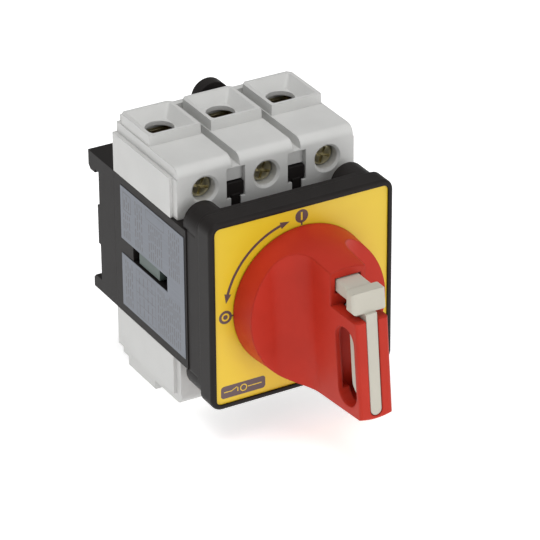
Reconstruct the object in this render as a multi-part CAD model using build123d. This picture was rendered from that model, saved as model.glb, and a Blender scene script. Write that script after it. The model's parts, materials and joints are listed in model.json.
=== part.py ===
from build123d import *
import math
import os

# Rotary isolator switch, 3 poles, for a 35 mm rail. Millimetres.
# X runs across the poles, Z up, and Y from the handle back to the rail.
# The origin is on the rail seat (Y = 0) on the operating shaft's axis.

# ---- Driving dimensions -------------------------------------------------
WIDTH = 60.0  # bezel, body and shrouds
POLE_PITCH = 20.0
POLES = (-POLE_PITCH, 0.0, POLE_PITCH)
SIDES = (1, -1)  # +1 is the line side above the shaft, -1 the load side below
CLEAR = 0.05  # radial clearance of a running fit
GAP = 0.3  # between bodies that move past each other
TOUCH = 0.02  # between curved faces of one body

# Planes across Y, counted back from the printed label's face
LABEL_Y = -67.5
BEZEL_RIM_Y = LABEL_Y - 0.6
BEZEL_REAR_Y = LABEL_Y + 6.0
BODY_FRONT_Y = LABEL_Y + 13.5
EAR_REAR_Y = LABEL_Y + 15.2
SHROUD_FRONT_Y = LABEL_Y + 20.0
SHROUD_REAR_Y = LABEL_Y + 57.5
SEAT_Y = 0.0

BODY_HALF = 22.5  # half height of the body, bezel frame core and base
WALL = 2.0
LABEL_SIZE = 56.6
LABEL_THICK = 0.5

# Handle: a tall cone whose two flanks are scooped away to leave a fin
HANDLE_BASE_Y = LABEL_Y - 0.4
HANDLE_BASE_R = 22.6
HANDLE_TAPER = 0.07  # radius lost per millimetre of height
HANDLE_HEIGHT = 41.4
FIN_HALF_FRONT = 4.9
FIN_HALF_ROOT = 5.8
SCOOP_R = 9.0
SCOOP_DEPTH_Y = LABEL_Y - 9.6  # floor of the scoops
FRONT_TILT = 6.0  # degrees that the fin's front leans out towards its tail
HUB_R = 9.9

# Padlock window and the locking slider in the fin
WINDOW_HALF_Y = 4.8
WINDOW_HALF_Z = 11.9
WEB_HALF = 3.8  # the slider's web is this wide each way inside the window
WEB_Z = (-8.2, 10.6)  # along the tilted window, from its middle
POCKET_Y = LABEL_Y - 25.5  # floor of the pocket under the slider's head
POCKET_Z = 10.2  # the pocket's lower wall
STRIPE_HALF = 1.75
STRIPE_END_Z = -18.4
BOLT_HALF = 3.8
BOLT_Z = (13.9, 18.0)
SPRING_Z = 8.7

# Terminals
TERMINAL_Z = 30.0  # height of the terminal screws
CABLE_Y = LABEL_Y + 47.0  # where a cable goes down
SCREW_HEAD_R = 3.35
SCREW_HOLE_R = 3.7
SCREW_R = 2.5

# Contact system
SHAFT_SIDE = 6.0
CAM_RISE = 5.5  # carrier travel, and the cam's rise at its follower
FOLLOWER_Z = 6.5
CARRIER_Y = (LABEL_Y + 31.0, LABEL_Y + 43.5)
SLOT_Y = (LABEL_Y + 24.9, LABEL_Y + 46.2)  # drive slot in each side wall
SLOT_HALF = 2.3

# Rail latch
LATCH_X = 5.2
LATCH_HALF = 5.5
LATCH_TOP_Z = 41.2
LATCH_Y = (SEAT_Y - 7.0, SEAT_Y - 3.0)
RAIL_EDGE_Z = 17.5
HOOK_GAP = 2.3  # behind the rail's 1 mm edge

# corner screws, rear screws and terminal pods
EAR_AT = 24.0
REAR_SCREW_AT = (26.2, 18.9)
POD_HALF = 8.7
POD_TOP = 38.3
RIM_TOP = 41.6
LEDGE_TOP = 35.0
FUNNEL_Y = (LABEL_Y + 37.4, LABEL_Y + 55.9)
FUNNEL_FLOOR = 38.4
CABLE_HOLE_R = 4.3


# ---- Helpers ------------------------------------------------------------
def block(x0, x1, y0, y1, z0, z1):
    """Box between its limits."""
    centre = Pos((x0 + x1) / 2, (y0 + y1) / 2, (z0 + z1) / 2)
    return centre * Box(abs(x1 - x0), abs(y1 - y0), abs(z1 - z0))


def rod(radius, y0, y1, x=0.0, z=0.0):
    """Cylinder along Y between y0 and y1."""
    centre = Pos(x, (y0 + y1) / 2, z) * Rot(90, 0, 0)
    return centre * Cylinder(radius, abs(y1 - y0))


def flip(shape):
    """Half a turn about Y: a line-side piece becomes its load-side twin."""
    return Rot(0, 180, 0) * shape


def coil_spring(mean_r, wire_r, length, turns):
    """Coil along +Z from z = 0: an eight-sided wire swept along one helix."""
    helix = Helix(pitch=length / turns, height=length, radius=mean_r)
    section = Plane(origin=helix @ 0, z_dir=helix % 0) * RegularPolygon(wire_r, 8)
    return sweep(section, path=helix)


def along_y(shape, x, y, z):
    """Lay a shape made along +Z down along +Y, starting at (x, y, z)."""
    return Pos(x, y, z) * Rot(-90, 0, 0) * shape


def rounded_bar(half_x, half_z, radius, y0, y1):
    """Prism along Y with a rounded rectangular section."""
    section = Plane.XZ * RectangleRounded(2 * half_x, 2 * half_z, radius)
    prism = extrude(section, amount=-(y1 - y0))
    return Pos(0, y0, 0) * prism


# ---- Front operating unit ----------------------------------------------
def handle_cone():
    """The plain cone before any cut."""
    top_r = HANDLE_BASE_R - HANDLE_TAPER * HANDLE_HEIGHT
    cone = Cone(HANDLE_BASE_R, top_r, HANDLE_HEIGHT)
    return Pos(0, HANDLE_BASE_Y - HANDLE_HEIGHT / 2, 0) * Rot(90, 0, 0) * cone


def handle_scoop():
    """Cutter for the +X flank: fin side, round root and sloping floor."""
    front_y = HANDLE_BASE_Y - HANDLE_HEIGHT - 10.0
    root_y = SCOOP_DEPTH_Y - SCOOP_R
    root = (FIN_HALF_ROOT, root_y)
    floor = (FIN_HALF_ROOT + SCOOP_R, SCOOP_DEPTH_Y)
    mid_turn = math.radians(135)
    mid = (
        FIN_HALF_ROOT + SCOOP_R + SCOOP_R * math.cos(mid_turn),
        root_y + SCOOP_R * math.sin(mid_turn),
    )
    outer_x = HANDLE_BASE_R + 10.0
    edges = Line((FIN_HALF_FRONT, front_y), root)
    edges += ThreePointArc(root, mid, floor)
    edges += Polyline(floor, (outer_x, SCOOP_DEPTH_Y), (outer_x, front_y), (FIN_HALF_FRONT, front_y))
    outline = make_face(edges)
    cutter = extrude(outline, amount=40.0, both=True)
    pivot = Pos(0, SCOOP_DEPTH_Y, 0)
    return pivot * Rot(-5.0, 0, 0) * pivot.inverse() * cutter


def front_plane_cut(depth_y):
    """Everything in front of a plane that leans out towards the tail."""
    slab = block(-40, 40, -60, 0, -60, 60)
    return Pos(0, depth_y, 0) * Rot(-FRONT_TILT, 0, 0) * slab


def in_window_frame(shape):
    """Place a shape made round the origin in the middle of the padlock window."""
    return Pos(0, LABEL_Y - 33.7, -5.2) * Rot(-FRONT_TILT, 0, 0) * shape


def padlock_window():
    """Rounded slot across the fin for padlock shackles."""
    section = Plane.YZ * RectangleRounded(2 * WINDOW_HALF_Y, 2 * WINDOW_HALF_Z, WINDOW_HALF_Y - 0.5)
    return in_window_frame(extrude(section, amount=20.0, both=True))


def web_slot():
    """Room inside the fin for the slider's web when it is pushed in."""
    half = WEB_HALF + 0.2
    # the slider goes straight back and the window leans, so the web climbs towards the slot's top
    return in_window_frame(block(-half, half, -1.0, 8.0, WEB_Z[0] - 0.4, WEB_Z[1] + 1.2))


def stripe_slot(half, end_z, top_z, y0, y1):
    """Upright bar section with a round lower end."""
    bar = block(-half, half, y0, y1, end_z + half, top_z)
    return bar + rod(half, y0, y1, z=end_z + half)


def handle():
    body = handle_cone()
    scoop = handle_scoop()
    body -= scoop
    body -= mirror(scoop, about=Plane.YZ)
    body -= front_plane_cut(LABEL_Y - 39.6)
    body = fillet(fin_front_edges(body), 0.9)
    body -= block(-30, 30, POCKET_Y - 30, POCKET_Y, POCKET_Z, 40)
    body -= padlock_window()
    body -= web_slot()
    slot_half = STRIPE_HALF + 0.2
    front_y = LABEL_Y - 50.0
    slot_floor_y = LABEL_Y - 25.6
    body -= stripe_slot(slot_half, STRIPE_END_Z - 0.2, POCKET_Z + 1, front_y, slot_floor_y)
    bolt_hole = block(
        -BOLT_HALF - GAP, BOLT_HALF + GAP, POCKET_Y - 5,
        HANDLE_BASE_Y + 5, BOLT_Z[0] - GAP, BOLT_Z[1] + GAP
    )
    body -= bolt_hole
    body += rod(HUB_R, HANDLE_BASE_Y - 4, LABEL_Y + 8.2)
    body -= retaining_groove()
    hollow = rod(18.8, HANDLE_BASE_Y - 5.5, HANDLE_BASE_Y + 1)
    hollow -= rod(HUB_R + 1.4, HANDLE_BASE_Y - 6, HANDLE_BASE_Y + 2)
    hollow -= block(-BOLT_HALF - 1.8, BOLT_HALF + 1.8, HANDLE_BASE_Y - 6, HANDLE_BASE_Y + 2, 10, 20)
    body -= hollow
    socket_half = SHAFT_SIDE / 2 + CLEAR
    body -= block(-socket_half, socket_half, LABEL_Y - 14, LABEL_Y + 12, -socket_half, socket_half)
    spring_bore = rod(1.6, LABEL_Y - 26, LABEL_Y - 17.8, z=SPRING_Z)
    return body - spring_bore


def fin_front_edges(body):
    """The two long edges and two end edges round the fin's front face."""
    front_face = body.faces().sort_by(Axis.Y)[0]
    return front_face.edges()


def retaining_groove():
    ring_y = LABEL_Y + 6.5
    return rod(HUB_R + 1, ring_y, ring_y + 1.4) - rod(HUB_R - 1.2, ring_y - 1, ring_y + 2.4)


def handle_retaining_ring():
    """Ring that holds the handle's hub behind the bezel."""
    ring_y = LABEL_Y + 6.6
    ring = rod(HUB_R + 1.8, ring_y, ring_y + 1.2)
    ring -= rod(HUB_R - 1.2 + TOUCH, ring_y - 1, ring_y + 2)
    return ring - block(-1.2, 1.2, ring_y - 1, ring_y + 2, -20, 0)


def lock_slider():
    """Push-in lock: head, front stripe, web in the window and square bolt."""
    front_y = LABEL_Y - 50.0
    stripe = stripe_slot(STRIPE_HALF, STRIPE_END_Z, 16.0, front_y, LABEL_Y - 36.8)
    web_shape = block(-STRIPE_HALF, STRIPE_HALF, front_y, LABEL_Y - 34.2, -12.0, 16.0)
    stripe += fillet(web_shape.edges().filter_by(Axis.X).group_by(Axis.Z)[0], 2.2)
    wide_web = block(-WEB_HALF, WEB_HALF, 0.3 - WINDOW_HALF_Y, -0.3, *WEB_Z)
    wide_web = fillet(wide_web.edges().filter_by(Axis.X).group_by(Axis.Z)[0].sort_by(Axis.Y)[-1], 4.0)
    wide_web = fillet(wide_web.edges().filter_by(Axis.X).group_by(Axis.Z)[-1].sort_by(Axis.Y)[0], 4.0)
    head = block(-5.4, 5.4, front_y, LABEL_Y - 33.0, 12.3, 18.6)
    slider = stripe + head
    slider -= front_plane_cut(LABEL_Y - 39.4)
    slider -= Pos(0, LABEL_Y - 38.6, 0) * Rot(-FRONT_TILT, 0, 0) * block(-10, 10, -20, 0, 12.2, 30)
    neck = block(-2.9, 2.9, LABEL_Y - 35.0, LABEL_Y - 32.8, POCKET_Z + GAP, BOLT_Z[1] - 1)
    bolt = block(-BOLT_HALF, BOLT_HALF, LABEL_Y - 34.0, LABEL_Y - 4.6, *BOLT_Z)
    bolt = fillet(bolt.edges().filter_by(Axis.Y), 0.7)
    head_edges = slider.edges().filter_by(lambda e: e.center().Z > 11.5 and abs(e.center().X) > 5.3)
    slider = fillet(head_edges, 1.0)
    return slider + neck + bolt + in_window_frame(wide_web)


def lock_spring():
    """Return spring behind the slider's web."""
    coil = coil_spring(1.15, 0.28, 15.4, 9)
    return along_y(coil, 0, LABEL_Y - 33.8, SPRING_Z)


def front_label():
    label = rounded_bar(LABEL_SIZE / 2, LABEL_SIZE / 2, 1.8, LABEL_Y, LABEL_Y + LABEL_THICK)
    label -= rod(HUB_R + CLEAR + 0.6, LABEL_Y - 1, LABEL_Y + 2)
    return label - lock_notches()


def lock_notches():
    """Where the bolt enters the bezel: under the handle, on and off."""
    half = BOLT_HALF + GAP
    upright = block(-half, half, LABEL_Y - 1, LABEL_Y + 3.4, BOLT_Z[0] - GAP, BOLT_Z[1] + GAP)
    return upright + Rot(0, -90, 0) * upright


def bezel():
    """Square black frame that holds the label and bears the handle."""
    body = rounded_bar(WIDTH / 2, WIDTH / 2, 3.6, BEZEL_RIM_Y, BEZEL_REAR_Y)
    body = fillet(body.faces().sort_by(Axis.Y)[0].edges(), 1.1)
    pocket_half = LABEL_SIZE / 2 + 0.05
    body -= rounded_bar(pocket_half, pocket_half, 1.85, BEZEL_RIM_Y - 1, LABEL_Y + LABEL_THICK)
    body -= rounded_bar(26.5, 26.5, 2.0, LABEL_Y + 3.8, BEZEL_REAR_Y + 1) - bezel_posts()
    body -= rod(HUB_R + CLEAR, BEZEL_RIM_Y - 1, BEZEL_REAR_Y + 1)
    body -= corner_points(rod(1.25, LABEL_Y + 2.2, BEZEL_REAR_Y + 1))
    return body - lock_notches()


def bezel_posts():
    """Solid corners under the frame screws, and the hub's bearing ring."""
    posts = corner_points(rod(4.6, LABEL_Y + 2, BEZEL_REAR_Y))
    bearing = rod(HUB_R + 2.6, LABEL_Y + 2, BEZEL_REAR_Y)
    return posts + bearing


def corner_points(shape):
    """Four copies, one at each corner screw."""
    copies = [Pos(x, 0, z) * shape for x in (-EAR_AT, EAR_AT) for z in (-EAR_AT, EAR_AT)]
    return copies[0] + copies[1:]


def front_frame():
    """Mechanism cover behind the bezel, with four rounded corner ears."""
    flange = rounded_bar(WIDTH / 2 - 0.3, WIDTH / 2 - 0.3, 5.6, BEZEL_REAR_Y, BEZEL_REAR_Y + 2.4)
    core = rounded_bar(WIDTH / 2 - 0.3, 24.0, 2.0, BEZEL_REAR_Y, BODY_FRONT_Y)
    ears = corner_points(rod(5.7, BEZEL_REAR_Y, EAR_REAR_Y))
    body = flange + core + (ears - block(-40, 40, BODY_FRONT_Y, 0, -BODY_HALF - GAP, BODY_HALF + GAP))
    cavity = rod(17.5, BEZEL_REAR_Y - 1, BODY_FRONT_Y - WALL)
    body -= cavity
    body -= rod(4.9, BEZEL_REAR_Y, BODY_FRONT_Y + 1)
    for side in SIDES:
        body -= block(-11.6, 11.6, BEZEL_REAR_Y - 1, BODY_FRONT_Y - WALL, side * 13.55, side * 14.25)
    body -= corner_points(rod(1.6, BEZEL_REAR_Y - 1, EAR_REAR_Y + 1))
    return body - corner_points(rod(3.0, EAR_REAR_Y - 2.6, EAR_REAR_Y + 1))


def corner_screws():
    """Four screws from behind the ears into the bezel."""
    head = rod(2.8, EAR_REAR_Y - 2.5, EAR_REAR_Y - 0.4)
    shank = rod(1.5, BEZEL_REAR_Y + 0.5, EAR_REAR_Y - 2.5)
    thread = rod(1.2, LABEL_Y + 2.6, BEZEL_REAR_Y + 0.5)
    screw = head + shank + thread
    screw -= block(-0.4, 0.4, EAR_REAR_Y - 1.4, EAR_REAR_Y, -3.5, 3.5)
    return corner_points(screw)


def operating_shaft():
    """Square shaft with round journals in the frame and the body."""
    half = SHAFT_SIDE / 2
    shaft = block(-half, half, LABEL_Y - 13.5, LABEL_Y + 24.5, -half, half)
    journal = rod(4.9 - CLEAR, LABEL_Y + 11.2, LABEL_Y + 15.2)
    return shaft + journal


def index_disc():
    """Disc on the shaft whose notches hold each position."""
    y0 = LABEL_Y + 9.0
    y1 = LABEL_Y + 10.8
    disc = rod(12.0, y0, y1)
    for turn in range(4):
        angle = math.radians(90 * turn)
        disc -= rod(2.2, y0 - 1, y1 + 1, 12.8 * math.cos(angle), 12.8 * math.sin(angle))
    half = SHAFT_SIDE / 2 + TOUCH
    return disc - block(-half, half, y0 - 1, y1 + 1, -half, half)


def index_springs():
    """Two leaf springs that rest beside the disc's notches."""
    y0 = LABEL_Y + 9.0
    y1 = LABEL_Y + 10.8
    springs = []
    for side in SIDES:
        leaf = block(-11.5, 11.5, y0, y1, side * 13.6, side * 14.2)
        nose = rod(1.1, y0, y1, z=side * 13.55) & block(-5, 5, y0, y1, side * 12.4, side * 14.0)
        springs.append(leaf + nose)
    return springs[0] + springs[1]


# ---- Switch body --------------------------------------------------------
def switch_body():
    """Black housing: front wall, side walls, pole barriers, contact slots."""
    half_w = WIDTH / 2
    body = block(-half_w, half_w, BODY_FRONT_Y, SHROUD_REAR_Y, -BODY_HALF, BODY_HALF)
    inner = BODY_HALF - WALL
    for x in POLES:
        x0 = x - POLE_PITCH / 2 + (WALL if x < 0 else 0.7)
        x1 = x + POLE_PITCH / 2 - (WALL if x > 0 else 0.7)
        body -= block(x0, x1, SLOT_Y[0], SHROUD_REAR_Y + 1, -inner, inner)
    body -= rod(11.0, BODY_FRONT_Y + WALL, LABEL_Y + 26)
    body -= rod(4.9, BODY_FRONT_Y - 1, BODY_FRONT_Y + WALL + 1)
    body -= block(-half_w - 1, half_w + 1, SLOT_Y[0], SLOT_Y[1], -SLOT_HALF, SLOT_HALF)
    for x in POLES:
        for side in SIDES:
            bar_slot = block(x - 4.9, x + 4.9, LABEL_Y + 40.4, LABEL_Y + 43.2, side * 10, side * 30)
            body -= bar_slot
    for side in SIDES:
        body += rear_screw_posts(side)
        for x in (-POLE_PITCH / 2, POLE_PITCH / 2):
            body += tee_post(x, side)
    body -= corner_points(rod(3.0, BODY_FRONT_Y - 1, EAR_REAR_Y))
    return body - rear_points(rod(1.45, LABEL_Y + 50.5, SHROUD_REAR_Y + 1))


def tee_post(x, side):
    """T-shaped key on the body that a shroud hooks round."""
    y0 = SHROUD_FRONT_Y
    y1 = SHROUD_FRONT_Y + 4.0
    neck = block(x - 1.3, x + 1.3, y0, y1, side * (BODY_HALF - 1), side * 26.0)
    head = block(x - 2.7, x + 2.7, y0 + 0.5, y1, side * 25.4, side * 29.6)
    return neck + head


def rear_screw_posts(side):
    """Corner blocks inside the body that take the base's screws."""
    x, z = REAR_SCREW_AT
    post = block(x - 2.6, x + 2.6, LABEL_Y + 50.2, SHROUD_REAR_Y, side * (z - 2.6), side * (z + 2.6))
    return post + mirror(post, about=Plane.YZ)


def rear_points(shape):
    x, z = REAR_SCREW_AT
    copies = [Pos(sx * x, 0, sz * z) * shape for sx in SIDES for sz in SIDES]
    return copies[0] + copies[1:]


def rear_screws():
    """Four screws through the base into the body's corner posts."""
    head = rod(2.7, SEAT_Y - 2.9, SEAT_Y - 0.9)
    shank = rod(1.4, LABEL_Y + 51, SEAT_Y - 2.9)
    slot = block(-0.4, 0.4, SEAT_Y - 1.7, SEAT_Y, -3, 3)
    return rear_points(head + shank - slot)


def rear_base():
    """Rear cover with the rail seat, fixed hooks and the latch's channel."""
    half_w = WIDTH / 2
    body = block(-half_w, half_w, SHROUD_REAR_Y, SEAT_Y, -BODY_HALF, BODY_HALF)
    body -= block(-half_w + WALL, half_w - WALL, SHROUD_REAR_Y - 1, SHROUD_REAR_Y + 1.6, -20.0, 20.0)
    body += upper_hook()
    body += lower_cheeks()
    latch_clear = LATCH_HALF + GAP
    channel = block(
        LATCH_X - latch_clear, LATCH_X + latch_clear, LATCH_Y[0] - GAP,
        LATCH_Y[1] + GAP, -BODY_HALF - 1, BODY_HALF + 1
    )
    body -= channel
    body -= block(
        LATCH_X - latch_clear, LATCH_X + latch_clear, LATCH_Y[1],
        SEAT_Y + 9, -BODY_HALF - 1, -RAIL_EDGE_Z + 1.4
    )
    body += block(LATCH_X - 2.2, LATCH_X + 2.2, LATCH_Y[0] - 1, LATCH_Y[1] - 0.2, -16.2, -13.9)
    body -= rear_points(rod(1.5, SHROUD_REAR_Y - 1, SEAT_Y + 1))
    return body - rear_points(rod(2.9, SEAT_Y - 3.0, SEAT_Y + 1))


def upper_hook():
    """Fixed lip over the rail's upper edge."""
    half_w = WIDTH / 2
    block_part = block(-half_w, half_w, SEAT_Y, SEAT_Y + 6.4, RAIL_EDGE_Z - 1.0, BODY_HALF)
    notch = block(
        -half_w - 1, half_w + 1, SEAT_Y - 0.001,
        SEAT_Y + HOOK_GAP, RAIL_EDGE_Z - 2.0, RAIL_EDGE_Z + 0.1
    )
    hook = block_part - notch
    lip = hook.edges().filter_by(Axis.X).sort_by(Axis.Y)[-2:].sort_by(Axis.Z)[0]
    return chamfer(lip, 1.2)


def lower_cheeks():
    """Blocks under the rail's lower edge, either side of the latch."""
    half_w = WIDTH / 2
    top_z = -RAIL_EDGE_Z - 0.8
    cheeks = block(-half_w, half_w, SEAT_Y, SEAT_Y + 5.0, -BODY_HALF, top_z)
    edge = cheeks.edges().filter_by(Axis.X).sort_by(Axis.Y)[-2:].sort_by(Axis.Z)[-1]
    cheeks = chamfer(edge, 1.2)
    pad = block(-half_w, half_w, SEAT_Y, SEAT_Y + 1.2, -6.4, 6.4)
    pad -= block(-half_w + 6.0, half_w - 6.0, SEAT_Y - 1, SEAT_Y + 3, -8, 8)
    return cheeks + pad


def rail_latch():
    """Sliding latch: thumb tab on top, catch under the rail's lower edge."""
    tab_z = LATCH_TOP_Z - LATCH_HALF
    bar = block(LATCH_X - LATCH_HALF, LATCH_X + LATCH_HALF, *LATCH_Y, -BODY_HALF + 0.5, tab_z)
    bar += rod(LATCH_HALF, *LATCH_Y, LATCH_X, tab_z)
    catch = block(
        LATCH_X - LATCH_HALF, LATCH_X + LATCH_HALF, LATCH_Y[1] - 1,
        SEAT_Y + 5.4, -BODY_HALF + 0.5, -RAIL_EDGE_Z - 0.1
    )
    lip = block(
        LATCH_X - LATCH_HALF, LATCH_X + LATCH_HALF, SEAT_Y + HOOK_GAP,
        SEAT_Y + 5.4, -BODY_HALF + 0.5, -RAIL_EDGE_Z + 1.2
    )
    lip = chamfer(lip.edges().filter_by(Axis.X).sort_by(Axis.Y)[-2:].sort_by(Axis.Z)[-1], 2.0)
    window = block(LATCH_X - 2.6, LATCH_X + 2.6, LATCH_Y[0] - 1, LATCH_Y[1] + 1, -16.5, 2.0)
    return bar + catch + lip - window


def latch_spring():
    """Return spring of the latch, between the base's peg and its window."""
    coil = coil_spring(1.5, 0.28, 15.0, 9)
    return Pos(LATCH_X, (LATCH_Y[0] + LATCH_Y[1]) / 2, -13.6) * coil


# ---- Terminals ----------------------------------------------------------


def terminal_shroud():
    """Line-side shroud: three pods with cable funnels over a common block."""
    half_w = WIDTH / 2
    body = block(-half_w, half_w, SHROUD_FRONT_Y, SHROUD_REAR_Y, BODY_HALF + 0.05, LEDGE_TOP)
    body += block(-half_w + 2.6, half_w - 2.6, SHROUD_REAR_Y - 2.2, SHROUD_REAR_Y, LEDGE_TOP, 40.0)
    for x in POLES:
        body += pod(x)
    for sx in SIDES:
        corner = block(
            sx * (half_w - 1.0), sx * (half_w + 1), SHROUD_FRONT_Y - 1,
            SHROUD_FRONT_Y + 2.5, 20, LEDGE_TOP + 1
        )
        body -= corner
    for x in POLES:
        body -= funnel(x)
        body -= terminal_room(x)
    for x in (-POLE_PITCH / 2, POLE_PITCH / 2):
        body -= key_window(x)
    return body


def pod(x):
    """Raised part over one terminal, with a round front top edge."""
    low = block(x - POD_HALF, x + POD_HALF, SHROUD_FRONT_Y, SHROUD_REAR_Y - 0.4, LEDGE_TOP - 1, POD_TOP)
    low = fillet(low.edges().filter_by(Axis.X).sort_by(Axis.Y)[:2].sort_by(Axis.Z)[-1], 2.8)
    rim = Plane.XY.offset(POD_TOP - 1) * Pos(x, (FUNNEL_Y[0] + FUNNEL_Y[1]) / 2) * Rectangle(
        2 * POD_HALF - 0.6, FUNNEL_Y[1] - FUNNEL_Y[0]
    )
    collar = extrude(rim, amount=RIM_TOP - POD_TOP + 1, taper=1.5)
    collar = chamfer(collar.edges().filter_by(lambda e: e.length < 6).group_by(Axis.Y)[-1], 1.2)
    return low + collar


def funnel(x):
    """Square cable funnel that narrows to a round hole."""
    mid_y = (FUNNEL_Y[0] + FUNNEL_Y[1]) / 2
    depth = RIM_TOP - FUNNEL_FLOOR
    mouth = Plane.XY.offset(RIM_TOP) * Pos(x, mid_y) * RectangleRounded(14.3, 16.2, 0.8)
    floor = Plane.XY.offset(RIM_TOP - depth) * Pos(x, CABLE_Y) * RectangleRounded(8.8, 8.8, 0.8)
    cut = loft([floor.face(), mouth.face()])
    hole = Pos(x, CABLE_Y, FUNNEL_FLOOR - 4) * Cylinder(CABLE_HOLE_R, 12)
    return cut + hole


def terminal_room(x):
    """Room for one clamp and its screw, and the screwdriver hole."""
    room = block(x - 6.6, x + 6.6, LABEL_Y + 25.8, LABEL_Y + 53.2, BODY_HALF - 1, FUNNEL_FLOOR - 1.4)
    hole = rod(SCREW_HOLE_R, SHROUD_FRONT_Y - 1, LABEL_Y + 26, x, TERMINAL_Z)
    cone = Cone(SCREW_HOLE_R, SCREW_HOLE_R + 0.9, 0.9)
    dish = Pos(x, SHROUD_FRONT_Y + 0.3, TERMINAL_Z) * Rot(90, 0, 0) * cone
    return room + hole + dish


def key_window(x):
    """Front window between poles with the hooks that grip the T post."""
    window = block(x - 3.0, x + 3.0, SHROUD_FRONT_Y - 1, SHROUD_FRONT_Y + 4.3, 25.1, LEDGE_TOP - 0.4)
    panel = block(x - 3.0, x + 3.0, SHROUD_FRONT_Y + 1.8, SHROUD_FRONT_Y + 4.3, 29.9, LEDGE_TOP - 0.4)
    neck = block(x - 1.6, x + 1.6, SHROUD_FRONT_Y - 1, SHROUD_FRONT_Y + 4.3, 20, 26)
    return window - panel + neck


def terminal_screw(x):
    """Clamp screw: slotted cross head and a plain shank for the thread."""
    head_y = LABEL_Y + 22.8
    head = rod(SCREW_HEAD_R, head_y, head_y + 3.0, x, TERMINAL_Z)
    head = fillet(head.edges().sort_by(Axis.Y)[0], 0.8)
    for angle in (0, 90):
        slot = block(-2.6, 2.6, head_y - 1, head_y + 1.5, -0.45, 0.45)
        head -= Pos(x, 0, TERMINAL_Z) * Rot(0, angle + 20, 0) * slot
    shank = rod(SCREW_R, head_y + 3.0, LABEL_Y + 40.3, x, TERMINAL_Z)
    return head + shank


def cage_clamp(x):
    """Box clamp that the screw draws forwards over the terminal bar."""
    y0 = LABEL_Y + 33.2
    y1 = LABEL_Y + 52.7
    ring = block(x - 6.2, x + 6.2, y0, y1, TERMINAL_Z - 5.6, TERMINAL_Z + 5.6)
    ring = fillet(ring.edges().filter_by(Axis.Z), 1.5)
    ring -= block(x - 4.95, x + 4.95, y0 + 2.4, y1 - 1.4, 20, 40)
    return ring - rod(SCREW_R + CLEAR, y0 - 1, y0 + 4, x, TERMINAL_Z)


def fixed_contact(x):
    """Copper bar from the clamp to its contact face in the body."""
    wide = 4.6
    upper = block(x - wide, x + wide, LABEL_Y + 40.8, LABEL_Y + 42.8, 15.0, 34.8)
    step = block(x - wide, x + wide, LABEL_Y + 40.8, LABEL_Y + 49.6, 15.0, 17.0)
    lower = block(x - wide, x + wide, LABEL_Y + 47.6, LABEL_Y + 49.6, 7.5, 17.0)
    return upper + step + lower


def contact_button(x):
    """Silver tip on the fixed contact."""
    return rod(2.4, LABEL_Y + 46.55, LABEL_Y + 47.6, x, 10.0)


def one_side(maker, side):
    """Three copies of a line-side piece, or its load-side twins."""
    pieces = [maker(x) for x in POLES]
    group = pieces[0] + pieces[1:]
    return group if side > 0 else flip(group)


# ---- Moving contacts ----------------------------------------------------
def rotor():
    """Barrel cam on the shaft; its slanted rear face moves the carrier."""
    y0 = LABEL_Y + 15.9
    barrel = rod(9.5, y0, LABEL_Y + 25.0)
    slope = math.degrees(math.atan2(CAM_RISE, FOLLOWER_Z))
    slant = Pos(0, LABEL_Y + 25.0 - CAM_RISE, 0) * Rot(-slope, 0, 0) * block(-20, 20, 0, 30, -30, 30)
    barrel -= slant
    half = SHAFT_SIDE / 2 + TOUCH
    return barrel - block(-half, half, y0 - 1, LABEL_Y + 30, -half, half)


def contact_carrier():
    """Grey-green slide across the poles: drive tabs, spring pegs, cam nose."""
    y0, y1 = CARRIER_Y
    bar = block(-29.4, 29.4, y0, y1, -1.9, 1.9)
    for x in POLES:
        bar += block(x - 6.0, x + 6.0, y0, y1, -5.5, 5.5)
        bar -= block(x - 3.2, x + 3.2, y0 + 2.0, y1 + 1, -5.6, 5.6)
        bar += rod(1.0, y0, y0 + 5.0, x)
    nose_y = LABEL_Y + 28.6
    bar += block(-2.5, 2.5, y0, y0 + 2.0, 4.0, FOLLOWER_Z + 1.7)
    bar += rod(1.5, nose_y, y0 + 1, z=FOLLOWER_Z)
    return bar + Pos(0, nose_y, FOLLOWER_Z) * Sphere(1.5)


def contact_bridge(x):
    """Copper bridge that joins the line and load contacts of one pole."""
    y0 = CARRIER_Y[1] + 0.7
    bridge = block(x - 2.9, x + 2.9, y0, y0 + 1.2, -12.6, 12.6)
    return bridge


def bridge_tip(x, side):
    y0 = CARRIER_Y[1] + 1.9
    return rod(2.2, y0, y0 + 0.8, x, side * 10.0)


def contact_spring(x):
    """Spring that presses the bridge on the fixed contacts."""
    coil = coil_spring(2.2, 0.3, CARRIER_Y[1] - CARRIER_Y[0] - 2.0 - 0.1, 6)
    return along_y(coil, x, CARRIER_Y[0] + 2.35, 0)


def grouped(maker):
    pieces = [maker(x) for x in POLES]
    return pieces[0] + pieces[1:]


# ---- Rating label -------------------------------------------------------
def rating_label():
    """Printed foil on the left side, cut out round the drive slot."""
    x1 = -WIDTH / 2
    foil = block(x1 - 0.15, x1, LABEL_Y + 14.6, LABEL_Y + 53.3, -19.6, 19.8)
    return foil - block(x1 - 1, x1 + 1, SLOT_Y[0], LABEL_Y + 60, -2.45, 2.45)


# ---- Export -------------------------------------------------------------
os.makedirs("parts", exist_ok=True)

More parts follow.
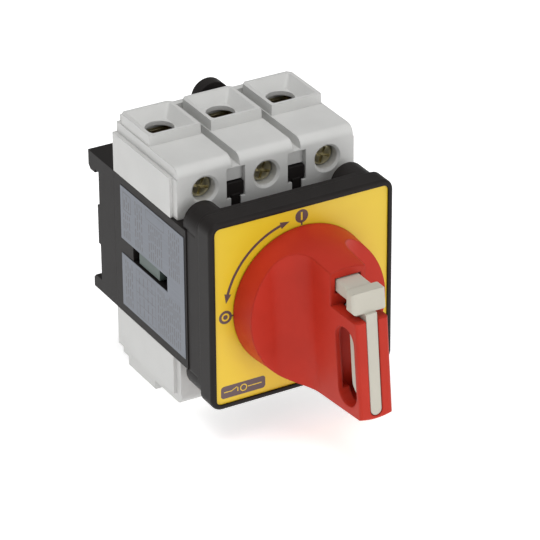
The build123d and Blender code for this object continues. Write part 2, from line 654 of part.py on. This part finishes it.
NODES = {
    "handle": handle(),
    "handle_retaining_ring": handle_retaining_ring(),
    "lock_slider": lock_slider(),
    "lock_spring": lock_spring(),
    "front_label": front_label(),
    "bezel": bezel(),
    "front_frame": front_frame(),
    "corner_screws": corner_screws(),
    "operating_shaft": operating_shaft(),
    "index_disc": index_disc(),
    "index_springs": index_springs(),
    "rotor_cam": rotor(),
    "switch_body": switch_body(),
    "rating_label": rating_label(),
    "rear_base": rear_base(),
    "rear_screws": rear_screws(),
    "rail_latch": rail_latch(),
    "latch_spring": latch_spring(),
    "contact_carrier": contact_carrier(),
    "contact_bridges": grouped(contact_bridge),
    "bridge_tips": grouped(lambda x: bridge_tip(x, 1)) + grouped(lambda x: bridge_tip(x, -1)),
    "contact_springs": grouped(contact_spring),
}
for side, side_name in ((1, "line"), (-1, "load")):
    shroud = terminal_shroud()
    NODES[f"{side_name}_shroud"] = shroud if side > 0 else flip(shroud)
    NODES[f"{side_name}_contacts"] = one_side(fixed_contact, side)
    NODES[f"{side_name}_contact_tips"] = one_side(contact_button, side)
    for number, x in enumerate(POLES, start=1):
        screw = terminal_screw(x)
        clamp = cage_clamp(x)
        NODES[f"{side_name}_screw_{number}"] = screw if side > 0 else flip(screw)
        NODES[f"{side_name}_clamp_{number}"] = clamp if side > 0 else flip(clamp)

for name, shape in NODES.items():
    export_step(shape, f"parts/{name}.step")
    print(name, len(shape.solids()), round(shape.volume, 1))
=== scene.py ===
# %% [markdown]
# # A rotary isolator switch in Blender
# The solid shapes come from an exact CAD model, so this lesson is about looks: plastics, metals and print.
# Building the shapes again by hand would be possible, but they would no longer fit each other.

import json
import math

import bpy
import numpy as np
from mathutils import Matrix, Vector


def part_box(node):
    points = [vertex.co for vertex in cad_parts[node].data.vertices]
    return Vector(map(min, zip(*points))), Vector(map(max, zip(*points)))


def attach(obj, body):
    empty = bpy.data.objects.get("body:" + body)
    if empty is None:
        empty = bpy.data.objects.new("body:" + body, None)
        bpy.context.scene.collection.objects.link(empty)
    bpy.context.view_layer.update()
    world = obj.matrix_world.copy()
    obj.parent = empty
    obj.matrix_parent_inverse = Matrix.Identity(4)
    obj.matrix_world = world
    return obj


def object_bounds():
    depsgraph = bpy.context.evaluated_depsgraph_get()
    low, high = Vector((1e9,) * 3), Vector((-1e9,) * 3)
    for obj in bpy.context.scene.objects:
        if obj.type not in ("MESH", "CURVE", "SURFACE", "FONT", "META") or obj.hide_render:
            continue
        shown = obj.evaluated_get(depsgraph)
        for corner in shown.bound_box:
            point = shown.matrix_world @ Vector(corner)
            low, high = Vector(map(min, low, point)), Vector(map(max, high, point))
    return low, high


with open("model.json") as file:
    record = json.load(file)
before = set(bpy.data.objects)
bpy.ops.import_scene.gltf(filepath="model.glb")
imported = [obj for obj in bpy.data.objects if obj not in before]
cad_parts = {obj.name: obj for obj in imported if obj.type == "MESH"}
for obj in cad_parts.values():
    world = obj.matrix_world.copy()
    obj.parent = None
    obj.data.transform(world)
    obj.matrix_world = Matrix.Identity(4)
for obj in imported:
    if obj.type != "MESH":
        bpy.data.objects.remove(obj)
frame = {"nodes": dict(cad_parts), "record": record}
nodes = frame["nodes"]
cad_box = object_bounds()
MM = 0.001
print("CAD nodes:", len(nodes))

# %% [markdown]
# ## Where things are
# X runs across the poles, Y from the handle back to the rail, and Z up. The printed plate's face and the
# side foil's face are read from the CAD boxes, so the print can't float or sink if the CAD changes.

# %% Reference planes
plate_low, plate_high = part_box("front_label")
foil_low, foil_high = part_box("rating_label")
PRINT_Y = plate_low.y
FOIL_X = foil_low.x
PRINT_LIFT = 0.006 * MM  # ink stands this far above its sheet
print("print plane", round(PRINT_Y, 4), "foil plane", round(FOIL_X, 5))

# %% [markdown]
# ## Colour and node helpers
# Colours are easiest to choose as sRGB hex, but shaders work with linear light, so one function converts.
# A second one adds a shader node with its settings and links, which keeps each material to a few lines.


# %% Helpers for materials
def linear(hex_colour, alpha=1.0):
    """sRGB hex to linear RGBA: c/12.92 below 0.04045, else ((c + 0.055)/1.055)^2.4."""
    channels = [int(hex_colour[i : i + 2], 16) / 255 for i in (1, 3, 5)]
    out = [c / 12.92 if c <= 0.04045 else ((c + 0.055) / 1.055) ** 2.4 for c in channels]
    return (*out, alpha)


def add(tree, kind, settings=None, links=None):
    """Add one node; settings go on its properties or sockets, links are socket name to output."""
    node = tree.nodes.new("ShaderNode" + kind)
    for key, value in (settings or {}).items():
        if key in node.inputs:
            node.inputs[key].default_value = value
        else:
            setattr(node, key, value)
    for key, output in (links or {}).items():
        tree.links.new(output, node.inputs[key])
    return node


def new_material(name):
    """An empty node material and its output node."""
    material = bpy.data.materials.new(name)
    material.use_nodes = True
    material.node_tree.nodes.clear()
    return material, material.node_tree, add(material.node_tree, "OutputMaterial")


# %% [markdown]
# ## Moulded plastic
# Housings like these are moulded in a thermoplastic with a fine spark-eroded texture. It scatters light a
# little unevenly, so the roughness varies slowly over a few millimetres, and a much finer bump breaks up
# the highlights. Real moulded edges are never knife sharp: the Bevel node rounds them in the shading only,
# which is cheaper than modelling hundreds of tiny fillets. The red and black plastics get a low specular
# level, because a matt pigment would otherwise look washed out under large lamps.


# %% Plastics
def plastic(name, colour, shade, roughness, grain_mm, grain_depth, edge_mm, specular=0.5):
    """Moulded plastic: slow colour and roughness drift, fine grain and softened edges."""
    material, tree, output = new_material(name)
    place = add(tree, "TexCoord")
    drift = add(
        tree,
        "TexNoise",
        {"Scale": 1 / (14 * MM), "Detail": 3.0, "Roughness": 0.55},
        {"Vector": place.outputs["Object"]},
    )
    tint = add(tree, "ValToRGB", links={"Fac": drift.outputs["Fac"]})
    tint.color_ramp.elements[0].position = 0.32
    tint.color_ramp.elements[0].color = linear(shade)
    tint.color_ramp.elements[1].position = 0.62
    tint.color_ramp.elements[1].color = linear(colour)
    gloss = add(
        tree,
        "MapRange",
        {"To Min": roughness - 0.05, "To Max": roughness + 0.06},
        {"Value": drift.outputs["Fac"]},
    )
    grain = add(
        tree,
        "TexNoise",
        {"Scale": 1 / (grain_mm * MM), "Detail": 2.0},
        {"Vector": place.outputs["Object"]},
    )
    edge = add(tree, "Bevel", {"samples": 4, "Radius": edge_mm * MM})
    bump = add(
        tree,
        "Bump",
        {"Strength": grain_depth, "Distance": 0.02 * MM},
        {"Height": grain.outputs["Fac"], "Normal": edge.outputs["Normal"]},
    )
    surface = add(
        tree,
        "BsdfPrincipled",
        {"IOR": 1.5, "Specular IOR Level": specular},
        {
            "Base Color": tint.outputs["Color"],
            "Roughness": gloss.outputs["Result"],
            "Normal": bump.outputs["Normal"],
        },
    )
    tree.links.new(surface.outputs["BSDF"], output.inputs["Surface"])
    return material


FINISHES = {
    # Signal red handle in glass-filled polyamide, slightly satin
    "red_plastic": plastic("red_polyamide", "#B82D1C", "#B02918", 0.44, 0.35, 0.25, 0.8, 0.2),
    # Ivory lock slider in acetal, smoother than the handle
    "ivory_plastic": plastic("ivory_acetal", "#BDB9AC", "#B9B5A8", 0.38, 0.5, 0.12, 0.3),
    # Black thermoplastic of the body, bezel and rail foot
    "black_plastic": plastic("black_polycarbonate", "#211E1D", "#1D1A19", 0.5, 0.3, 0.45, 0.3, 0.15),
    # Light grey terminal shrouds, quite matt
    "grey_plastic": plastic("light_grey_polyamide", "#CDCDCB", "#C8C8C6", 0.5, 0.35, 0.35, 0.3),
    # Grey-green carrier inside the side slot
    "carrier_plastic": plastic("grey_green_thermoset", "#56645F", "#505E59", 0.5, 0.4, 0.4, 0.2),
}
print("plastics:", sorted(FINISHES))

# %% [markdown]
# ## Metals
# The terminal screws and clamps are zinc plated: a warm grey with faint clouding from the passivation.
# The contact bars are a copper alloy and the springs plain steel. One function covers them, with colour,
# roughness and the size of the clouding as its arguments.


# %% Metals
def metal(name, colour, shade, roughness, cloud_mm, edge_mm=0.12):
    """Plated or plain metal: clouded colour, roughness that follows it, softened edges."""
    material, tree, output = new_material(name)
    place = add(tree, "TexCoord")
    cloud = add(
        tree,
        "TexNoise",
        {"Scale": 1 / (cloud_mm * MM), "Detail": 4.0},
        {"Vector": place.outputs["Object"]},
    )
    tint = add(tree, "ValToRGB", links={"Fac": cloud.outputs["Fac"]})
    tint.color_ramp.elements[0].position = 0.3
    tint.color_ramp.elements[0].color = linear(shade)
    tint.color_ramp.elements[1].position = 0.65
    tint.color_ramp.elements[1].color = linear(colour)
    gloss = add(
        tree,
        "MapRange",
        {"To Min": roughness - 0.06, "To Max": roughness + 0.08},
        {"Value": cloud.outputs["Fac"]},
    )
    edge = add(tree, "Bevel", {"samples": 4, "Radius": edge_mm * MM})
    surface = add(
        tree,
        "BsdfPrincipled",
        {"Metallic": 1.0},
        {
            "Base Color": tint.outputs["Color"],
            "Roughness": gloss.outputs["Result"],
            "Normal": edge.outputs["Normal"],
        },
    )
    tree.links.new(surface.outputs["BSDF"], output.inputs["Surface"])
    return material


FINISHES["zinc_steel"] = metal("zinc_plated_steel", "#D8D0AE", "#B9B190", 0.3, 1.5)
FINISHES["spring_steel"] = metal("spring_steel_wire", "#B8B8B8", "#9C9C9C", 0.28, 1.0)
FINISHES["copper"] = metal("copper_alloy", "#D89A6C", "#B87A50", 0.32, 2.0)
FINISHES["silver_alloy"] = metal("silver_contact_alloy", "#E4E2DC", "#CFCCC4", 0.35, 1.0)
print("finishes so far:", len(FINISHES))

# %% [markdown]
# ## Printed sheets
# The yellow plate is lacquered print on a plastic sheet: an even colour under a thin satin coat. The side
# foil is a metallised sticker. It reflects softly, with brushed lines that run along its length, made here
# by stretching a noise pattern with a Mapping node.


# %% Plate and foil
def lacquered_print(name, colour, shade, roughness=0.42):
    """Even print with the slightest orange-peel drift under a clear coat."""
    material, tree, output = new_material(name)
    place = add(tree, "TexCoord")
    peel = add(
        tree,
        "TexNoise",
        {"Scale": 1 / (6 * MM), "Detail": 2.0},
        {"Vector": place.outputs["Object"]},
    )
    tint = add(tree, "ValToRGB", links={"Fac": peel.outputs["Fac"]})
    tint.color_ramp.elements[0].color = linear(shade)
    tint.color_ramp.elements[1].color = linear(colour)
    surface = add(
        tree,
        "BsdfPrincipled",
        {"Roughness": roughness, "Coat Weight": 0.25, "Coat Roughness": 0.3},
        {"Base Color": tint.outputs["Color"]},
    )
    tree.links.new(surface.outputs["BSDF"], output.inputs["Surface"])
    return material


def brushed_foil(name, colour, shade):
    """Metallised sticker: noise stretched 40 times along Y gives the brushed lines."""
    material, tree, output = new_material(name)
    place = add(tree, "TexCoord")
    stretch = add(
        tree, "Mapping", {"Scale": (1.0, 0.025, 1.0)}, {"Vector": place.outputs["Object"]}
    )
    lines = add(
        tree,
        "TexNoise",
        {"Scale": 1 / (0.25 * MM), "Detail": 2.0},
        {"Vector": stretch.outputs["Vector"]},
    )
    tint = add(tree, "ValToRGB", links={"Fac": lines.outputs["Fac"]})
    tint.color_ramp.elements[0].color = linear(shade)
    tint.color_ramp.elements[1].color = linear(colour)
    surface = add(
        tree,
        "BsdfPrincipled",
        {"Metallic": 0.55, "Roughness": 0.42},
        {"Base Color": tint.outputs["Color"]},
    )
    tree.links.new(surface.outputs["BSDF"], output.inputs["Surface"])
    return material


FINISHES["yellow_print"] = lacquered_print("yellow_lacquered_print", "#E3C320", "#DFBE1C")
FINISHES["silver_foil"] = brushed_foil("metallised_foil", "#787C84", "#696E76")
dark_ink = lacquered_print("dark_print_ink", "#5A4648", "#534043")
foil_ink = lacquered_print("grey_foil_ink", "#4A4A50", "#424248")

# %% [markdown]
# ## Dress the CAD parts
# The record names one material slot for each CAD node, so the finishes are handed out by slot and no part
# is forgotten. Curved faces are shaded smooth and flat ones keep their edges, by the angle between faces.


# %% Hand out the finishes
def shade_by_angle(mesh, limit_deg=28.0):
    """Smooth shading everywhere, with edges kept sharp where faces meet at more than the limit."""
    mesh.shade_smooth()
    mesh.set_sharp_from_angle(angle=math.radians(limit_deg))


slot_of = {s["node"]: s["material_slot"] for s in frame["record"]["subparts"]}
for name, part in nodes.items():
    part.data.materials.clear()
    part.data.materials.append(FINISHES[slot_of[name]])
    shade_by_angle(part.data)
print("dressed", len(nodes), "CAD parts")

# %% [markdown]
# ## Print as thin meshes
# The marks on the plate could be painted in an image, but an image blurs when the camera comes close.
# They are flat outlines instead, filled as meshes that lie on the plate. Each outline is a short formula.


# %% Outlines
def arc_arrow(radius, half_line, start_deg, end_deg, head_long, head_half):
    """Ring sector with an arrowhead at each end, as (x, z) points in mm.

    The band's edges are (r +- w)(cos t, sin t). A head's base lies head_long/r radians inside its tip.
    """
    head_turn = head_long / radius
    t0 = math.radians(start_deg) + head_turn
    t1 = math.radians(end_deg) - head_turn
    turns = np.linspace(t0, t1, 60)

    def at(r, t):
        return (r * math.cos(t), r * math.sin(t))

    outer = [at(radius + half_line, t) for t in turns]
    inner = [at(radius - half_line, t) for t in turns[::-1]]
    far_head = [at(radius + head_half, t1), at(radius, t1 + head_turn), at(radius - head_half, t1)]
    near_head = [at(radius - head_half, t0), at(radius, t0 - head_turn), at(radius + head_half, t0)]
    return outer + far_head + inner + near_head


def disc(x, z, radius, count=40):
    """Circle (x + r cos t, z + r sin t)."""
    turns = np.linspace(0, 2 * math.pi, count, endpoint=False)
    return [(x + radius * math.cos(t), z + radius * math.sin(t)) for t in turns]


def bar(x, z, long, wide, angle_deg=0.0):
    """Rectangle of the given length and width, turned about its centre."""
    c, s = math.cos(math.radians(angle_deg)), math.sin(math.radians(angle_deg))
    corners = [(-long / 2, -wide / 2), (long / 2, -wide / 2), (long / 2, wide / 2), (-long / 2, wide / 2)]
    return [(x + u * c - v * s, z + u * s + v * c) for u, v in corners]


def pill(x0, x1, z0, z1, radius, count=8):
    """Rounded rectangle: four quarter circles joined by its sides."""
    centres = [(x1 - radius, z1 - radius), (x0 + radius, z1 - radius)]
    centres += [(x0 + radius, z0 + radius), (x1 - radius, z0 + radius)]
    points = []
    for quarter, (cx, cz) in enumerate(centres):
        for t in np.linspace(quarter * math.pi / 2, (quarter + 1) * math.pi / 2, count):
            points.append((cx + radius * math.cos(t), cz + radius * math.sin(t)))
    return points


def ring(x, z, outer, inner, count=40):
    """Band between two circles, as a strip of four-sided faces."""
    quads = []
    turns = np.linspace(0, 2 * math.pi, count + 1)
    for a, b in zip(turns[:-1], turns[1:]):
        corners = ((outer, a), (outer, b), (inner, b), (inner, a))
        quads.append([(x + r * math.cos(t), z + r * math.sin(t)) for r, t in corners])
    return quads


# %% [markdown]
# ## From outlines to pieces
# One function lays any list of outlines on a plane and makes a mesh of them. The front print lies in the
# XZ plane and faces -Y, and the side print lies in the YZ plane and faces -X.


# %% Lay the print
def print_piece(name, outlines, place, ink):
    """One mesh from many outlines; place turns an outline's (u, v) in mm into a point in metres."""
    points, faces = [], []
    for outline in outlines:
        first = len(points)
        points += [place(u, v) for u, v in outline]
        faces.append(list(range(first, first + len(outline))))
    mesh = bpy.data.meshes.new(name)
    mesh.from_pydata(points, [], faces)
    mesh.materials.append(ink)
    piece = bpy.data.objects.new(name, mesh)
    bpy.context.scene.collection.objects.link(piece)
    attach(piece, "housing")
    print(name, len(points), "points")
    return piece


def on_plate(lift):
    """Place on the front plate, lifted towards the viewer."""
    return lambda u, v: (u * MM, PRINT_Y - lift, v * MM)


def on_foil(lift):
    """Place on the side foil: u counts back from the plate's face, v is the height."""
    return lambda u, v: (FOIL_X - lift, PRINT_Y + u * MM, v * MM)


# %% [markdown]
# ## The plate's marks
# A double arrow shows the quarter turn between the I and O positions, which are the generic marks for on
# and off, each in a dark disc. The small panel at the lower left carries the symbol of an isolating switch.

# %% Front print
ARROW_R = 25.0  # mm, outside the handle's foot
DISC_R = 2.1
I_Z = 25.4  # the I mark, straight above the shaft
O_X, O_Z = -24.9, -0.3  # the O mark, to the left of it
LINE_HALF = 0.42
dark = [
    arc_arrow(ARROW_R, LINE_HALF, 99.0, 171.0, 3.0, 1.15),
    disc(0.0, I_Z, DISC_R),
    bar(0.0, 23.0, 0.5, 0.9),
    disc(O_X, O_Z, DISC_R),
    bar(-22.4, -0.3, 0.9, 0.5),
    pill(-26.7, -12.2, -26.7, -22.7, 1.0),
]
print_piece("plate_print_dark", dark, on_plate(PRINT_LIFT), dark_ink)

PANEL_Z = -24.7
yellow = [bar(0.0, I_Z, 0.55, 2.5)]
yellow += ring(O_X, O_Z, 1.25, 0.75)
yellow += [
    bar(-24.4, PANEL_Z, 2.6, 0.28),
    bar(-22.3, PANEL_Z + 0.45, 1.9, 0.28, 25.0),
    bar(-21.2, PANEL_Z, 0.28, 1.3),
    bar(-15.0, PANEL_Z, 3.2, 0.28),
    bar(-17.3, PANEL_Z, 1.2, 0.28),
]
yellow += ring(-19.3, PANEL_Z, 1.15, 0.85)
print_piece("plate_print_yellow", yellow, on_plate(2 * PRINT_LIFT), FINISHES["yellow_print"])

# %% [markdown]
# ## The rating foil's pattern
# Real foils carry ratings in small type. Here plain dashes stand in for it: the row of a dash sets its
# start, and a sine of the row and column sets its length, so the pattern looks irregular but is always
# the same. A few frames stand in for the certification marks.


# %% Side print
def dash_rows(u0, u1, v0, v1, pitch, wide, seed):
    """Columns of dashes that fill a rectangle; lengths follow 1.4 + 1.6 |sin(seed + 2.3 i + 1.7 j)| mm."""
    dashes = []
    for i, u in enumerate(np.arange(u0 + pitch / 2, u1, pitch)):
        v, j = v0, 0
        while v < v1 - 0.8:
            long = min(1.4 + 1.6 * abs(math.sin(seed + 2.3 * i + 1.7 * j)), v1 - v)
            dashes.append(bar(u, v + long / 2, wide, long))
            v += long + 0.45 + 0.5 * abs(math.cos(seed + 1.1 * i + 2.9 * j))
            j += 1
    return dashes


def frame_outline(u0, u1, v0, v1, line):
    """Four bars round a rectangle."""
    mid_u, mid_v = (u0 + u1) / 2, (v0 + v1) / 2
    sides = [bar(mid_u, v0, u1 - u0, line), bar(mid_u, v1, u1 - u0, line)]
    return sides + [bar(u0, mid_v, line, v1 - v0), bar(u1, mid_v, line, v1 - v0)]


foil_marks = []
foil_marks += dash_rows(17.0, 23.5, 3.6, 18.4, 1.15, 0.42, 0.4)
foil_marks += dash_rows(27.5, 36.5, 3.6, 15.0, 1.25, 0.45, 1.9)
foil_marks += frame_outline(26.6, 37.4, 15.8, 18.8, 0.18)
foil_marks += dash_rows(39.5, 45.0, 3.6, 18.4, 1.3, 0.5, 3.1)
foil_marks += frame_outline(47.0, 51.6, 12.6, 18.2, 0.3)
foil_marks += dash_rows(47.6, 51.4, 13.4, 17.4, 1.3, 0.6, 0.9)
foil_marks += dash_rows(47.2, 51.6, 3.6, 11.4, 1.2, 0.5, 2.2)
foil_marks += dash_rows(17.0, 31.0, -18.4, -3.8, 1.2, 0.42, 5.0)
foil_marks += frame_outline(32.6, 44.4, -18.6, -3.8, 0.18)
foil_marks += [bar(38.5, v, 11.8, 0.18) for v in (-7.5, -11.2, -14.9)]
foil_marks += dash_rows(33.4, 43.8, -18.0, -4.2, 2.6, 0.4, 4.2)
foil_marks += dash_rows(46.4, 51.6, -18.4, -3.8, 1.3, 0.5, 6.1)
print_piece("foil_print", foil_marks, on_foil(PRINT_LIFT), foil_ink)

# %% [markdown]
# ## The stage
# The studio has no visible room: a pale floor runs out of sight and big soft lamps light it. The floor
# glows a little, like a light table, so it stays white under lamps that suit the grey plastic. The object
# stands on its lower shroud, so the floor lies just under the lowest CAD point.


# %% Floor
def plain_floor(size_m, height):
    """One large square at the given height."""
    half = size_m / 2
    mesh = bpy.data.meshes.new("studio_floor")
    mesh.from_pydata(
        [(-half, -half, height), (half, -half, height), (half, half, height), (-half, half, height)],
        [],
        [(0, 1, 2, 3)],
    )
    material, tree, output = new_material("white_paper_floor")
    glow = {"Emission Color": linear("#FFFFFF"), "Emission Strength": 0.55}
    surface = add(tree, "BsdfPrincipled", {"Base Color": linear("#FBFBFB"), "Roughness": 0.9, **glow})
    tree.links.new(surface.outputs["BSDF"], output.inputs["Surface"])
    mesh.materials.append(material)
    floor = bpy.data.objects.new("studio_floor", mesh)
    bpy.context.scene.collection.objects.link(floor)
    return floor


lowest = cad_box[0][2]
plain_floor(8.0, lowest - 0.05 * MM)

# %% [markdown]
# ## Light
# A large lamp overhead keeps the tops of the shrouds brightest, a softer one from the front right models
# the handle, and a weak one lifts the left side. The world adds an even white fill, which also keeps the
# shadows open.


# %% Lamps and world
def lamp(name, place_m, aim_m, size_m, watts, colour="#FFFFFF"):
    """Square area lamp that points from place to aim."""
    data = bpy.data.lights.new(name, "AREA")
    data.size = size_m
    data.energy = watts
    data.color = linear(colour)[:3]
    light = bpy.data.objects.new(name, data)
    light.location = place_m
    light.rotation_euler = (Vector(aim_m) - Vector(place_m)).to_track_quat("-Z", "Y").to_euler()
    bpy.context.scene.collection.objects.link(light)
    return light


AIM = (0.0, -0.03, 0.0)
lamp("overhead_softbox", (-0.15, -0.1, 1.1), AIM, 0.8, 6.0)
lamp("front_softbox", (0.25, -1.1, 0.45), AIM, 0.7, 4.0)
lamp("left_softbox", (-1.0, -0.35, 0.5), AIM, 0.7, 0.8)

world = bpy.data.worlds.new("white_studio")
world.use_nodes = True
background = world.node_tree.nodes["Background"]
background.inputs["Color"].default_value = linear("#FFFFFF")
background.inputs["Strength"].default_value = 0.36
bpy.context.scene.world = world
bpy.context.scene.view_settings.view_transform = "Standard"

# %% [markdown]
# ## Camera
# The view is from the front left and above, with a long lens, so the square plate shows little
# perspective. The camera is set by its turn, its height angle, its distance and the point that it aims at.

# %% Camera
TURN, RISE, ROLL = math.radians(29.455), math.radians(28.239), math.radians(-0.396)
DISTANCE = 0.94912
SENSOR = 36.0
FOCAL = 224.27  # mm, a long lens
TARGET = Vector((-0.010376, PRINT_Y, 0.010946))

ahead = Vector((math.sin(TURN) * math.cos(RISE), math.cos(TURN) * math.cos(RISE), -math.sin(RISE)))
flat_right = Vector((math.cos(TURN), -math.sin(TURN), 0.0))
flat_up = flat_right.cross(ahead)
right = flat_right * math.cos(ROLL) + flat_up * math.sin(ROLL)
up = flat_up * math.cos(ROLL) - flat_right * math.sin(ROLL)
lens = bpy.data.cameras.new("product_camera")
lens.lens = FOCAL
lens.sensor_width = SENSOR
lens.clip_start = 0.05
lens.clip_end = 20.0
camera = bpy.data.objects.new("product_camera", lens)
axes = Matrix((right, up, -ahead)).transposed()
camera.matrix_world = Matrix.Translation(TARGET - ahead * DISTANCE) @ axes.to_4x4()
bpy.context.scene.collection.objects.link(camera)
bpy.context.scene.camera = camera
print("lens", round(FOCAL, 1), "mm")
